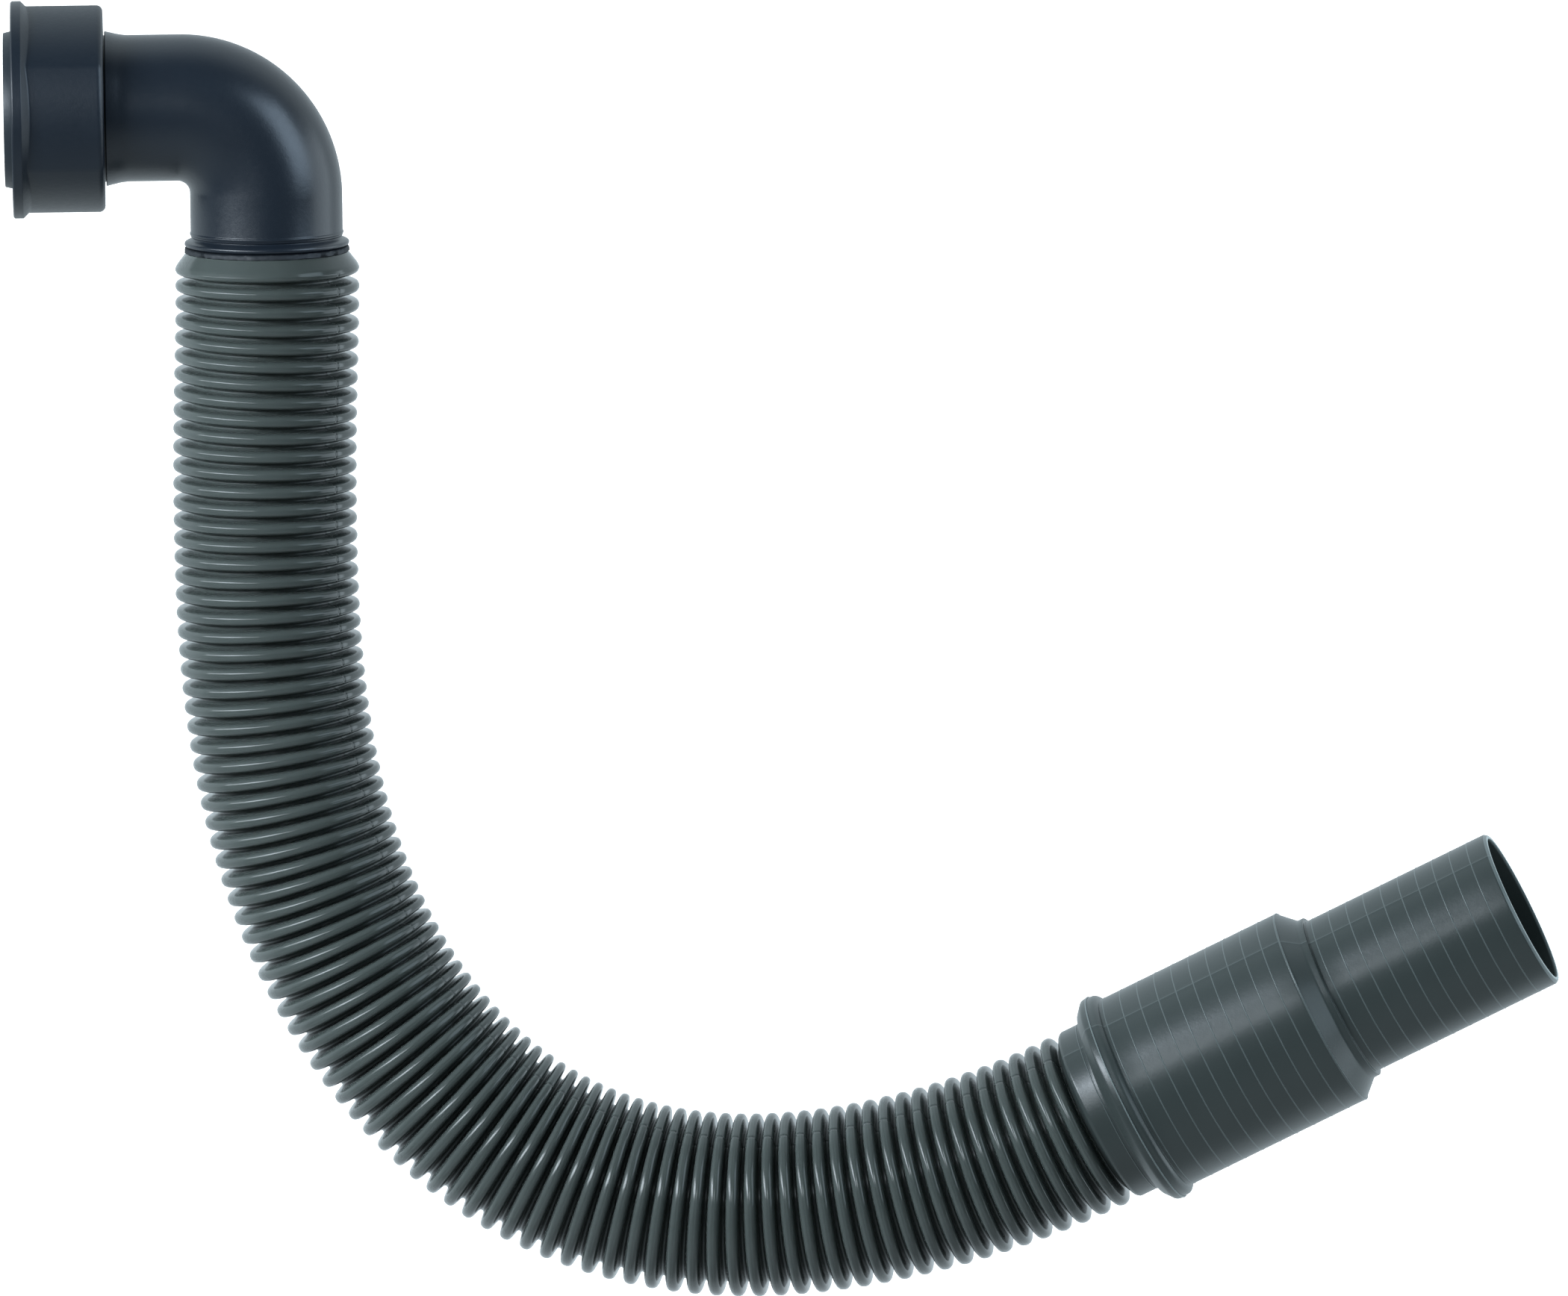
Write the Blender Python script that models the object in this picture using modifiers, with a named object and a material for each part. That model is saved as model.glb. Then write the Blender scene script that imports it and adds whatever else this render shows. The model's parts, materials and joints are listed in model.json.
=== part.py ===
"""Flexible drain elbow: a union nut and a coned seal on a moulded 90 degree elbow, bonded to a blown
bellows hose that ends in a stepped plain cuff for two pipe sizes.

Frame: the origin is the centre of the nut's mouth, +X runs into the elbow along the inlet, +Z is up.
The hose leaves the elbow downwards and sweeps round to +X, in a plane that is turned a little about the
elbow's arm, as the hose was bonded. It is drawn in the XZ plane and then turned.
"""

import bpy
import bmesh
from math import cos, pi, radians, sin
from mathutils import Matrix, Vector

MM = 0.001

# Clearances
RUNNING_GAP = 0.3 * MM      # between two pieces that touch or turn on each other
CUT_OVERRUN = 4.0 * MM      # how far a cutter runs past the face it leaves through

# Facet counts
ROUND_SIDES = 32                  # nut bore, seal, bond
ELBOW_SIDES = 24
BELLOWS_SIDES = 16          # outside of the bellows
BELLOWS_BORE_SIDES = 12
CUFF_SIDES = 32
BEND_STEPS = 9

# Union nut, thread G 1 1/4
NUT_LENGTH = 22.2 * MM
NUT_CORNER_R = 25.1 * MM    # centre to a rounded corner
NUT_FACET_R = 24.2 * MM     # centre to the middle of a bowed facet
NUT_FLANGE_OD = 52.5 * MM
NUT_FLANGE_T = 2.4 * MM
NUT_FLANGE_EDGE = 0.3 * MM  # broken edge at the mouth
NUT_SCALLOP_DEPTH = 2.0 * MM  # how far the cone behind the flange runs into the facets
NUT_REAR_ROUND = 1.5 * MM
NUT_SIDES = 6
THREAD_MINOR_D = 38.95 * MM
THREAD_MAJOR_D = 41.91 * MM
THREAD_LENGTH = 14.5 * MM
NUT_REAR_WALL = 3.0 * MM
NUT_MOUTH_CHAMFER = 0.6 * MM

# Elbow
NECK_OD = 35.4 * MM
ELBOW_WALL = 2.5 * MM
COLLAR_T = 3.0 * MM         # the collar that the nut pulls on
COLLAR_TO_THREAD = 0.45 * MM
INLET_STANDOFF = 0.3 * MM   # nut mouth to the collar's face, nut pushed back as it lies
SEAL_SEAT_LENGTH = 1.5 * MM
STOP_HEIGHT = 1.05 * MM     # ramp on the neck that keeps the nut from sliding round the bend
STOP_RAMP = 4.4 * MM
ARM_OD = 36.8 * MM
ARM_X = 61.0 * MM           # nut mouth to the arm's centre line
BEND_INNER_R = 3.0 * MM
ARM_DROP = 31.3 * MM        # inlet centre line to the first groove above the bead
BEAD_HEIGHT = 1.5 * MM
BEAD_T = 2.2 * MM
GROOVE_DEPTH = 0.35 * MM
NIPPLE_LENGTH = 23.0 * MM   # part of the elbow that is inside the hose
NIPPLE_TIP_CHAMFER = 1.2 * MM

# Coned seal
SEAL_T = 1.9 * MM
SEAL_SEAT_DEPTH = 1.0 * MM  # step from the collar's radius to the seat
SEAL_TAPER = 0.45 * MM

# Bellows hose
RIDGE_COUNT = 86
RIDGE_PITCH = 4.38 * MM     # unstretched
RIDGE_OD = 44.6 * MM
RIDGE_HEIGHT = 3.6 * MM
HOSE_WALL = 0.9 * MM
LIP_OD = 40.3 * MM
LIP_LENGTH = 1.7 * MM
LIP_TO_RIDGE = 2.2 * MM
LIP_STANDOFF = 1.1 * MM     # elbow's bead to the hose's lip, filled by the bond
HOSE_TWIST = radians(7.6)   # the hose's plane is turned by this about the arm, towards -Y
# The set of the hose as it lies: (ridge number, degrees that each ridge turns there, stretch of its pitch).
HOSE_SET = (
    (0, -0.8, 1.0), (8, 0.35, 1.0), (14, 0.25, 1.0), (22, 0.82, 1.0), (32, 1.4, 1.0), (41, 1.9, 1.0),
    (48, 2.3, 1.0), (55, 2.7, 1.01), (61, 2.5, 1.02), (66, 2.05, 1.03), (71, 1.45, 1.045),
    (78, 1.2, 1.055), (84, 1.3, 1.08), (86, 0.7, 1.08),
)

# Cuff, for pipes of 50 and 40 mm
CUFF_OD = 50.0 * MM
CUFF_LENGTH = 47.4 * MM
SPIGOT_OD = 40.0 * MM
SPIGOT_LENGTH = 49.0 * MM
CUFF_WALL = 1.4 * MM
BAND_OD = 44.2 * MM
BAND_LENGTH = 6.2 * MM
COLLAR_BEAD_STEP = 1.95 * MM  # how far the bead stands above the cuff
COLLAR_BEAD_LENGTH = 6.7 * MM
COLLAR_BEAD_ROUND = 1.6 * MM
CONE_LENGTH = 4.1 * MM
CONE_RING_LENGTH = 1.7 * MM
CONE_RING_HEIGHT = 1.1 * MM

# Worked out from the sizes above
NECK_R = NECK_OD / 2
ARM_R = ARM_OD / 2
COLLAR_R = THREAD_MINOR_D / 2 - COLLAR_TO_THREAD
REAR_HOLE_R = NECK_R + RUNNING_GAP
SEAT_R = COLLAR_R - SEAL_SEAT_DEPTH
INLET_BORE_R = NECK_R - ELBOW_WALL
ARM_BORE_R = INLET_BORE_R
RIDGE_R = RIDGE_OD / 2
ROOT_R = RIDGE_R - RIDGE_HEIGHT
HOSE_BORE_R = ROOT_R - HOSE_WALL
NIPPLE_R = HOSE_BORE_R * cos(pi / BELLOWS_BORE_SIDES) - RUNNING_GAP  # clears the bore's flats
STOP_X = NUT_LENGTH + RUNNING_GAP
BEAD_TOP = ARM_DROP + GROOVE_DEPTH * 2
BEAD_BOTTOM = BEAD_TOP + BEAD_T
LIP_Z = -(BEAD_BOTTOM + LIP_STANDOFF)
LIP_R = LIP_OD / 2
HOSE_LEAD = LIP_LENGTH + LIP_TO_RIDGE


def clear_scene():
    for old in list(bpy.data.objects):
        bpy.data.objects.remove(old, do_unlink=True)


def collection(name, hidden=False):
    made = bpy.data.collections.new(name)
    bpy.context.scene.collection.children.link(made)
    made.hide_render = hidden
    return made


def plastic(name, colour, roughness):
    material = bpy.data.materials.new(name)
    material.use_nodes = True
    shader = material.node_tree.nodes["Principled BSDF"]
    shader.inputs["Base Color"].default_value = (*colour, 1.0)
    shader.inputs["Roughness"].default_value = roughness
    shader.inputs["Metallic"].default_value = 0.0
    return material


def add_object(name, mesh, group, material=None):
    made = bpy.data.objects.new(name, mesh)
    group.objects.link(made)
    if material:
        mesh.materials.append(material)
    if group.hide_render:
        made.hide_render = True
        made.display_type = "WIRE"
    return made


def loft(name, rings, group, material=None):
    """A closed solid through rings of points, which all have the same count, with a flat face at each end."""
    bm = bmesh.new()
    rows = [[bm.verts.new(point) for point in ring] for ring in rings]
    for low, high in zip(rows, rows[1:]):
        for i in range(len(low)):
            j = (i + 1) % len(low)
            bm.faces.new((low[i], low[j], high[j], high[i]))
    bm.faces.new(reversed(rows[0]))
    bm.faces.new(rows[-1])
    bmesh.ops.recalc_face_normals(bm, faces=bm.faces)
    mesh = bpy.data.meshes.new(name)
    bm.to_mesh(mesh)
    bm.free()
    return add_object(name, mesh, group, material)


def round_ring(centre, heading, radius, count):
    """A circle square to a heading in the XZ plane. A heading of 0 is +X, and 90 degrees is down."""
    across = Vector((sin(heading), 0, cos(heading)))
    return [
        centre + radius * (cos(turn) * across + sin(turn) * Vector((0, 1, 0)))
        for turn in (2 * pi * i / count for i in range(count))
    ]


def sweep(name, stations, count, group, material=None):
    """A loft through round stations, each (centre, heading, radius)."""
    return loft(name, [round_ring(*station, count) for station in stations], group, material)


def revolve_x(name, profile, count, group, material=None):
    """A profile of (x, radius) turned round the X axis: closed, or an open line that starts and ends on it."""
    profile = list(profile)
    area = sum(a[0] * b[1] - b[0] * a[1] for a, b in zip(profile, profile[1:] + profile[:1]))
    if area < 0:  # the Screw's faces point out when the profile runs this way round
        profile.reverse()
    bm = bmesh.new()
    points = [bm.verts.new((x, 0, radius)) for x, radius in profile]
    closed = min(radius for _, radius in profile) > 0
    for i in range(len(points) if closed else len(points) - 1):
        bm.edges.new((points[i], points[(i + 1) % len(points)]))
    mesh = bpy.data.meshes.new(name)
    bm.to_mesh(mesh)
    bm.free()
    made = add_object(name, mesh, group, material)
    screw = made.modifiers.new("revolve", "SCREW")
    screw.axis = "X"
    screw.steps = screw.render_steps = count
    screw.use_merge_vertices = True
    screw.merge_threshold = 0.00001
    return made


def combine(body, operation, others):
    for other in others:
        step = body.modifiers.new(other.name, "BOOLEAN")
        step.operation = operation
        step.solver = "EXACT"
        step.object = other


def nut_outline(count_per_side=8):
    """Radius and angle round the rounded hexagon: bowed facets that run into rounded corners."""
    side = 2 * pi / NUT_SIDES
    bow = NUT_CORNER_R - NUT_FACET_R
    for i in range(NUT_SIDES * count_per_side):
        turn = 2 * pi * i / (NUT_SIDES * count_per_side)
        off_corner = abs((turn + side / 2) % side - side / 2) / (side / 2)
        yield turn, NUT_CORNER_R - bow * sin(off_corner * pi / 2) ** 1.5


def nut_ring(x, inset):
    return [
        Vector((x, (radius - inset) * sin(turn), (radius - inset) * cos(turn)))
        for turn, radius in nut_outline()
    ]


def build_nut(parts, cutters, material):
    corners = [pi / 2 * k / 4 for k in range(5)]
    rings = [nut_ring(NUT_FLANGE_T / 2, 0)] + [
        nut_ring(NUT_LENGTH - NUT_REAR_ROUND * (1 - sin(t)), NUT_REAR_ROUND * (1 - cos(t)))
        for t in corners
    ]
    nut = loft("union_nut", rings, parts, material)
    flange_r, edge = NUT_FLANGE_OD / 2, NUT_FLANGE_EDGE
    cone_depth = flange_r - NUT_FACET_R + NUT_SCALLOP_DEPTH
    flange = revolve_x(
        "nut_flange",
        (
            (0, 0), (0, flange_r - edge), (edge, flange_r), (NUT_FLANGE_T, flange_r),
            (NUT_FLANGE_T + cone_depth, flange_r - cone_depth), (NUT_FLANGE_T + cone_depth, 0),
        ),
        3 * ROUND_SIDES // 2, cutters,
    )
    minor, major = THREAD_MINOR_D / 2, THREAD_MAJOR_D / 2
    mouth_r = major + NUT_MOUTH_CHAMFER
    rear = NUT_LENGTH - NUT_REAR_WALL
    bore = revolve_x(
        "nut_bore",
        (
            (-CUT_OVERRUN, 0), (-CUT_OVERRUN, mouth_r + CUT_OVERRUN), (mouth_r - minor, minor),
            (THREAD_LENGTH, minor),
            (THREAD_LENGTH + major - minor, major), (rear, major), (rear, REAR_HOLE_R),
            (NUT_LENGTH + CUT_OVERRUN, REAR_HOLE_R), (NUT_LENGTH + CUT_OVERRUN, 0),
        ),
        ROUND_SIDES, cutters,
    )
    combine(nut, "UNION", [flange])
    combine(nut, "DIFFERENCE", [bore])


def build_seal(parts, material):
    """The coned ring on the elbow's tip, which the nut presses into the mouth of the pipe it joins."""
    back = INLET_STANDOFF - RUNNING_GAP
    inner = SEAT_R + RUNNING_GAP
    revolve_x(
        "cone_seal",
        (
            (back, inner), (back - SEAL_T, inner),
            (back - SEAL_T, COLLAR_R - SEAL_TAPER), (back, COLLAR_R),
        ),
        ROUND_SIDES, parts, material,
    )


def bend_station(turn, radius):
    """A station of the elbow's bend: 0 is where the neck ends and 1 where the arm starts."""
    heading = turn * pi / 2
    pivot = Vector((ARM_X - ARM_R - BEND_INNER_R, 0, -(NECK_R + BEND_INNER_R)))
    outer = NECK_R + (ARM_R - NECK_R) * turn
    reach = BEND_INNER_R + outer
    return pivot + reach * Vector((sin(heading), 0, cos(heading))), heading, radius


def build_elbow(parts, cutters, material):
    def on_neck(x, radius):
        return Vector((x, 0, 0)), 0.0, radius

    def on_arm(drop, radius):
        return Vector((ARM_X, 0, -drop)), pi / 2, radius

    face = INLET_STANDOFF
    stations = [
        on_neck(face - SEAL_SEAT_LENGTH, SEAT_R), on_neck(face, SEAT_R), on_neck(face, COLLAR_R),
        on_neck(face + COLLAR_T, COLLAR_R), on_neck(face + COLLAR_T, NECK_R),
        on_neck(STOP_X, NECK_R), on_neck(STOP_X, NECK_R + STOP_HEIGHT),
        on_neck(STOP_X + STOP_RAMP, NECK_R),
    ]
    stations += [
        bend_station(k / BEND_STEPS, NECK_R + (ARM_R - NECK_R) * k / BEND_STEPS)
        for k in range(BEND_STEPS + 1)
    ]
    bead_r = ARM_R + BEAD_HEIGHT
    tip = BEAD_BOTTOM + NIPPLE_LENGTH
    stations += [
        on_arm(ARM_DROP, ARM_R), on_arm(ARM_DROP + GROOVE_DEPTH, ARM_R - GROOVE_DEPTH),
        on_arm(BEAD_TOP, ARM_R), on_arm(BEAD_TOP + BEAD_T / 3, bead_r),
        on_arm(BEAD_TOP + BEAD_T * 2 / 3, bead_r), on_arm(BEAD_BOTTOM, ARM_R),
        on_arm(BEAD_BOTTOM, NIPPLE_R), on_arm(tip - NIPPLE_TIP_CHAMFER, NIPPLE_R),
        on_arm(tip, NIPPLE_R - NIPPLE_TIP_CHAMFER),
    ]
    elbow = sweep("elbow", stations, ELBOW_SIDES, parts, material)
    bore = [on_neck(face - SEAL_SEAT_LENGTH - CUT_OVERRUN, INLET_BORE_R)]
    bore += [bend_station(k / BEND_STEPS, INLET_BORE_R) for k in range(BEND_STEPS + 1)]
    bore += [on_arm(BEAD_BOTTOM, ARM_BORE_R), on_arm(tip + CUT_OVERRUN, ARM_BORE_R)]
    combine(elbow, "DIFFERENCE", [sweep("elbow_bore", bore, ELBOW_SIDES, cutters)])


def set_at(ridge):
    """The turn in degrees and the stretch of one ridge pitch, read along HOSE_SET."""
    for (first, *low), (last, *high) in zip(HOSE_SET, HOSE_SET[1:]):
        if ridge < last:
            share = (ridge - first) / (last - first)
            return [a + (b - a) * share for a, b in zip(low, high)]
    return HOSE_SET[-1][1:]


def hose_route(half_steps):
    """The hose's centre line at every half ridge: (centre, heading), from the first ridge on."""
    centre = Vector((ARM_X, 0, LIP_Z - HOSE_LEAD))
    heading = pi / 2
    route = [(centre, heading)]
    for k in range(half_steps):
        turn, stretch = set_at((k + 0.5) / 2)
        heading -= radians(turn) / 4
        centre = centre + RIDGE_PITCH / 2 * stretch * Vector((cos(heading), 0, -sin(heading)))
        heading -= radians(turn) / 4
        route.append((centre, heading))
    return route


def along(station, distance):
    """A point further on from a station, straight along its heading."""
    centre, heading = station
    return centre + distance * Vector((cos(heading), 0, -sin(heading)))


def cuff_profile():
    """The cuff's stations as (distance from the last root, radius)."""
    band_r, cuff_r, spigot_r = BAND_OD / 2, CUFF_OD / 2, SPIGOT_OD / 2
    bead_r, edge = cuff_r + COLLAR_BEAD_STEP, COLLAR_BEAD_ROUND
    at = RIDGE_PITCH / 3
    yield 0, ROOT_R
    yield at, band_r
    at += BAND_LENGTH
    yield at, band_r
    yield at, bead_r - edge
    yield at + edge, bead_r
    yield at + COLLAR_BEAD_LENGTH - edge, bead_r
    at += COLLAR_BEAD_LENGTH
    yield at, bead_r - edge
    yield at, cuff_r
    at += CUFF_LENGTH
    yield at, cuff_r
    at += CONE_LENGTH
    yield at, spigot_r + CONE_RING_HEIGHT
    at += CONE_RING_LENGTH
    yield at, spigot_r + CONE_RING_HEIGHT
    yield at, spigot_r
    yield at + SPIGOT_LENGTH, spigot_r


def build_hose(parts, cutters, material):
    route = hose_route(2 * RIDGE_COUNT - 1)
    start = (Vector((ARM_X, 0, LIP_Z)), pi / 2)
    end = route[-1]

    outside = [(*start, LIP_R), (along(start, LIP_LENGTH), start[1], LIP_R)]
    outside += [(*place, ROOT_R if k % 2 else RIDGE_R) for k, place in enumerate(route)]
    outside.append((along(end, BAND_LENGTH / 2), end[1], ROOT_R))
    hose = sweep("bellows_hose", outside, BELLOWS_SIDES, parts, material)
    cuff = sweep(
        "cuff_body",
        [(along(end, distance), end[1], radius) for distance, radius in cuff_profile()],
        CUFF_SIDES, cutters,
    )

    lip_bore = [
        (along(start, distance), start[1], LIP_R - HOSE_WALL) for distance in (-CUT_OVERRUN, LIP_LENGTH)
    ]
    bore = [
        (along(start, distance), start[1], HOSE_BORE_R) for distance in (-CUT_OVERRUN, LIP_LENGTH)
    ]
    bore += [
        (*place, HOSE_BORE_R if k % 2 else RIDGE_R - HOSE_WALL) for k, place in enumerate(route)
    ]
    bore.append((along(end, BAND_LENGTH / 2), end[1], HOSE_BORE_R))
    reach = list(cuff_profile())
    step, last = reach[-5][0], reach[-1][0]
    cuff_bore_r, spigot_bore_r = CUFF_OD / 2 - CUFF_WALL, SPIGOT_OD / 2 - CUFF_WALL
    band_bore_r = BAND_OD / 2 - CUFF_WALL
    cuff_bore = [
        (RIDGE_PITCH / 2, band_bore_r), (RIDGE_PITCH / 3 + BAND_LENGTH, band_bore_r),
        (RIDGE_PITCH / 3 + BAND_LENGTH + COLLAR_BEAD_LENGTH / 2, cuff_bore_r), (step, cuff_bore_r),
        (step + CONE_LENGTH, spigot_bore_r), (last + CUT_OVERRUN, spigot_bore_r),
    ]
    bores = [
        sweep("bellows_bore", bore, BELLOWS_BORE_SIDES, cutters),
        sweep("lip_bore", lip_bore, ROUND_SIDES, cutters),
        sweep(
            "cuff_bore",
            [(along(end, distance), end[1], radius) for distance, radius in cuff_bore],
            CUFF_SIDES, cutters,
        ),
    ]
    arm = Matrix.Translation((ARM_X, 0, 0))
    for made in (hose, cuff, *bores):
        made.matrix_world = arm @ Matrix.Rotation(-HOSE_TWIST, 4, "Z") @ arm.inverted()
    combine(hose, "UNION", [cuff])
    combine(hose, "DIFFERENCE", bores)


def build_bond(parts, material):
    """The ring of adhesive between the elbow's bead, its nipple and the hose's lip."""
    top = -(BEAD_BOTTOM + RUNNING_GAP)
    inner = NIPPLE_R + RUNNING_GAP
    in_lip = LIP_R - HOSE_WALL - RUNNING_GAP
    outer = LIP_R - HOSE_WALL / 2
    floor = LIP_Z - LIP_LENGTH + RUNNING_GAP
    profile = (
        (inner, top), (outer, top), (outer, LIP_Z + RUNNING_GAP), (in_lip, LIP_Z + RUNNING_GAP),
        (in_lip, floor), (inner, floor),
    )
    bond = revolve_x("bond_ring", [(-z, radius) for radius, z in profile], ROUND_SIDES, parts, material)
    bond.matrix_world = Matrix.Translation((ARM_X, 0, 0)) @ Matrix.Rotation(pi / 2, 4, "Y")


def main():
    clear_scene()
    parts = collection("flexible_drain_elbow")
    cutters = collection("cutters", hidden=True)
    slate = plastic("slate_plastic", (0.028, 0.036, 0.046), 0.36)
    nut_slate = plastic("nut_plastic", (0.027, 0.034, 0.044), 0.40)
    sage = plastic("hose_plastic", (0.058, 0.072, 0.074), 0.34)
    dark = plastic("seal_rubber", (0.024, 0.032, 0.040), 0.45)
    adhesive = plastic("adhesive", (0.015, 0.020, 0.025), 0.30)
    build_nut(parts, cutters, nut_slate)
    build_seal(parts, dark)
    build_elbow(parts, cutters, slate)
    build_hose(parts, cutters, sage)
    build_bond(parts, adhesive)


if __name__ == "__main__":
    main()
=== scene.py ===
import json
from math import cos, pi, radians, sin

import bmesh
import bpy
import numpy as np
from bpy.props import FloatProperty, FloatVectorProperty, IntProperty, PointerProperty
from mathutils import Matrix, Vector, noise

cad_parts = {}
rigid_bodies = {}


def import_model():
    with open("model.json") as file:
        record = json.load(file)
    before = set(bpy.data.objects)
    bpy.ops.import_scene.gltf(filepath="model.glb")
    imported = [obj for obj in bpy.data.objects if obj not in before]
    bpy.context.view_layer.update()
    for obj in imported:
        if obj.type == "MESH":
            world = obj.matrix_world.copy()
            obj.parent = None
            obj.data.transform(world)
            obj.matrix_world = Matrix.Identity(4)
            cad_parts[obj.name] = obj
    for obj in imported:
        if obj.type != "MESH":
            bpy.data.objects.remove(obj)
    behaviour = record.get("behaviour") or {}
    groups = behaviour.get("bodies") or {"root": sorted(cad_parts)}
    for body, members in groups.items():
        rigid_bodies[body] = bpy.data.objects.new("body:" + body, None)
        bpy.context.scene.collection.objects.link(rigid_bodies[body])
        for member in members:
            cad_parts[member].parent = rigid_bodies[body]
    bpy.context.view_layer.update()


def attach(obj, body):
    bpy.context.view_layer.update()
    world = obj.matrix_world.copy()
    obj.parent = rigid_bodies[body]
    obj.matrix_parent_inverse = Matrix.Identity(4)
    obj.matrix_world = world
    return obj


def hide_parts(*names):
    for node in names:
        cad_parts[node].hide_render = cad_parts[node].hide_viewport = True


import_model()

bl_info = {
    "name": "Flexible drain elbow",
    "version": (1, 0, 0),
    "blender": (4, 5, 0),
    "location": "3D View > Sidebar > Drain elbow",
    "description": "Dresses the drain elbow: union nut, seal, moulded elbow, bellows hose and stepped cuff",
    "category": "Object",
}

MM = 0.001
PIPE, NUT = "pipe", "nut"


def length(name, default, description):
    """A size, given in millimetres and kept in metres."""
    return FloatProperty(name=name, description=description, default=default * MM, unit="LENGTH", precision=5)


def metres(name, default, description):
    return FloatProperty(name=name, description=description, default=default, unit="LENGTH")


def angle(name, default, description):
    """An angle, given in degrees and kept in radians."""
    return FloatProperty(name=name, description=description, default=radians(default), subtype="ANGLE")


def colour(name, default, description):
    return FloatVectorProperty(
        name=name, description=description, default=default, subtype="COLOR", size=3, min=0, max=1
    )


class NutSizes(bpy.types.PropertyGroup):
    """The union nut."""
    nut_length: length("Length", 22.2, "Mouth to rear face")
    corner_radius: length("Corner radius", 25.1, "Centre to a rounded corner")
    facet_radius: length("Facet radius", 24.2, "Centre to the middle of a bowed facet")
    flange_radius: length("Flange radius", 26.25, "Centre to the flange's rim")
    flange_thickness: length("Flange thickness", 2.4, "Straight part of the flange's rim")
    rear_round: length("Rear round", 1.5, "Rounding of the rear edge")
    rear_wall: length("Rear wall", 3.0, "Thickness of the wall with the rear hole")
    thread_minor: length("Thread minor radius", 19.475, "Crest of the inside thread")
    thread_major: length("Thread major radius", 20.955, "Root of the inside thread")
    thread_pitch: length("Thread pitch", 2.309, "One turn of the thread")
    thread_length: length("Thread length", 14.5, "Mouth to the end of the thread")
    hole_radius: length("Rear hole radius", 18.0, "Hole that turns on the elbow's neck")


class ElbowSizes(bpy.types.PropertyGroup):
    """The moulded elbow, its seal and its bond."""
    neck_radius: length("Neck radius", 17.7, "Outside of the neck")
    arm_radius: length("Arm radius", 18.4, "Outside of the arm")
    bore_radius: length("Bore radius", 15.2, "Inside of the elbow")
    arm_place: length("Arm place", 61.0, "Nut mouth to the arm's centre line")
    inner_round: length("Inner round", 3.0, "Radius at the inner corner of the bend")
    drop: length("Drop", 31.3, "Inlet centre line to the first groove")
    bead_height: length("Bead height", 1.5, "Bead above the arm")
    collar_radius: length("Collar radius", 19.025, "Collar that the nut pulls on")
    collar_length: length("Collar length", 3.0, "Collar along the inlet")
    ramp_height: length("Ramp height", 1.05, "Ramp that stops the nut, above the neck")
    ramp_length: length("Ramp length", 4.4, "Ramp along the neck")
    seat_radius: length("Seat radius", 18.025, "Seat of the seal")
    seal_thickness: length("Seal thickness", 1.9, "Seal in front of the elbow's face")
    nipple_radius: length("Nipple radius", 16.893, "Part inside the hose")
    nipple_length: length("Nipple length", 23.0, "How far the nipple goes into the hose")


class HoseSizes(bpy.types.PropertyGroup):
    """The bellows."""
    ridges: IntProperty(name="Ridges", description="Number of ridges", default=86, min=2)
    pitch: length("Ridge pitch", 4.38, "Pitch of the ridges before the hose is pulled")
    ridge_radius: length("Ridge radius", 22.3, "Centre to a crest")
    root_radius: length("Root radius", 18.7, "Centre to the outside of a root")
    wall: length("Wall", 0.9, "Thickness of the blown wall")
    lip_radius: length("Lip radius", 20.15, "Outside of the hose's lip")
    lip_length: length("Lip length", 1.7, "Straight part of the lip")
    lip_top: length("Lip top", 35.3, "Inlet centre line down to the lip")
    first_ridge: length("First ridge", 39.2, "Inlet centre line down to the first crest")
    twist: angle("Twist", 7.6, "Turn of the hose's plane about the elbow's arm, towards -Y")
    parting: angle("Parting", -32, "Turn of the parting line from the bend's inner side")


class CuffSizes(bpy.types.PropertyGroup):
    """The stepped cuff."""
    band_radius: length("Band radius", 22.1, "Plain band after the last ridge")
    band_length: length("Band length", 6.2, "Plain band")
    bead_radius: length("Bead radius", 26.95, "Collar bead")
    bead_length: length("Bead length", 6.7, "Collar bead")
    bead_groove: length("Bead groove", 3.9, "Band's end to the fine groove round the collar bead")
    cuff_radius: length("Cuff radius", 25.0, "Large plain section")
    cuff_length: length("Cuff length", 47.4, "Large plain section")
    cone_length: length("Cone length", 4.1, "Cone between the two sections")
    ring_length: length("Ring length", 1.7, "Short ring after the cone")
    ring_height: length("Ring height", 1.1, "Short ring above the small section")
    spigot_radius: length("Spigot radius", 20.0, "Small plain section")
    spigot_length: length("Spigot length", 49.0, "Small plain section")
    wall: length("Wall", 1.4, "Thickness of the cuff's wall")
    line_pitch: length("Mould line pitch", 4.66, "Spacing of the raised mould lines")
    line_height: length("Mould line height", 0.09, "Mould lines above the surface")
    line_sunk: length("Mould line depth", 0.11, "Mould lines' centre below the surface")
    parting: angle("Parting", -35, "Turn of the parting line from the bend's inner side")
    parting_height: length("Parting height", 0.07, "Parting line above the surface")


class Finish(bpy.types.PropertyGroup):
    """Colours of the plastics and of the floor."""
    elbow: colour("Elbow", (0.0092, 0.0138, 0.0205), "Moulded elbow")
    nut: colour("Nut", (0.0055, 0.0100, 0.0165), "Union nut")
    hose: colour("Hose", (0.0525, 0.0620, 0.0580), "Blown hose")
    seam: colour("Hose seam", (0.012, 0.015, 0.015), "Parting lines of the hose")
    cuff: colour("Cuff", (0.0530, 0.0655, 0.0635), "Stepped cuff")
    # Paler colour for worn cut and rubbed edges, also used as a painted highlight on mould lines, edges and
    # the cut rim.
    wear_and_highlight: colour("Worn edge and highlight", (0.42, 0.50, 0.50), "Mould lines and cut edges: wear and painted highlight")
    seal: colour("Seal", (0.014, 0.021, 0.028), "Coned seal")
    bond: colour("Bond", (0.008, 0.011, 0.015), "Adhesive")
    floor: colour("Floor", (0.92, 0.92, 0.92), "Studio floor")


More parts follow.
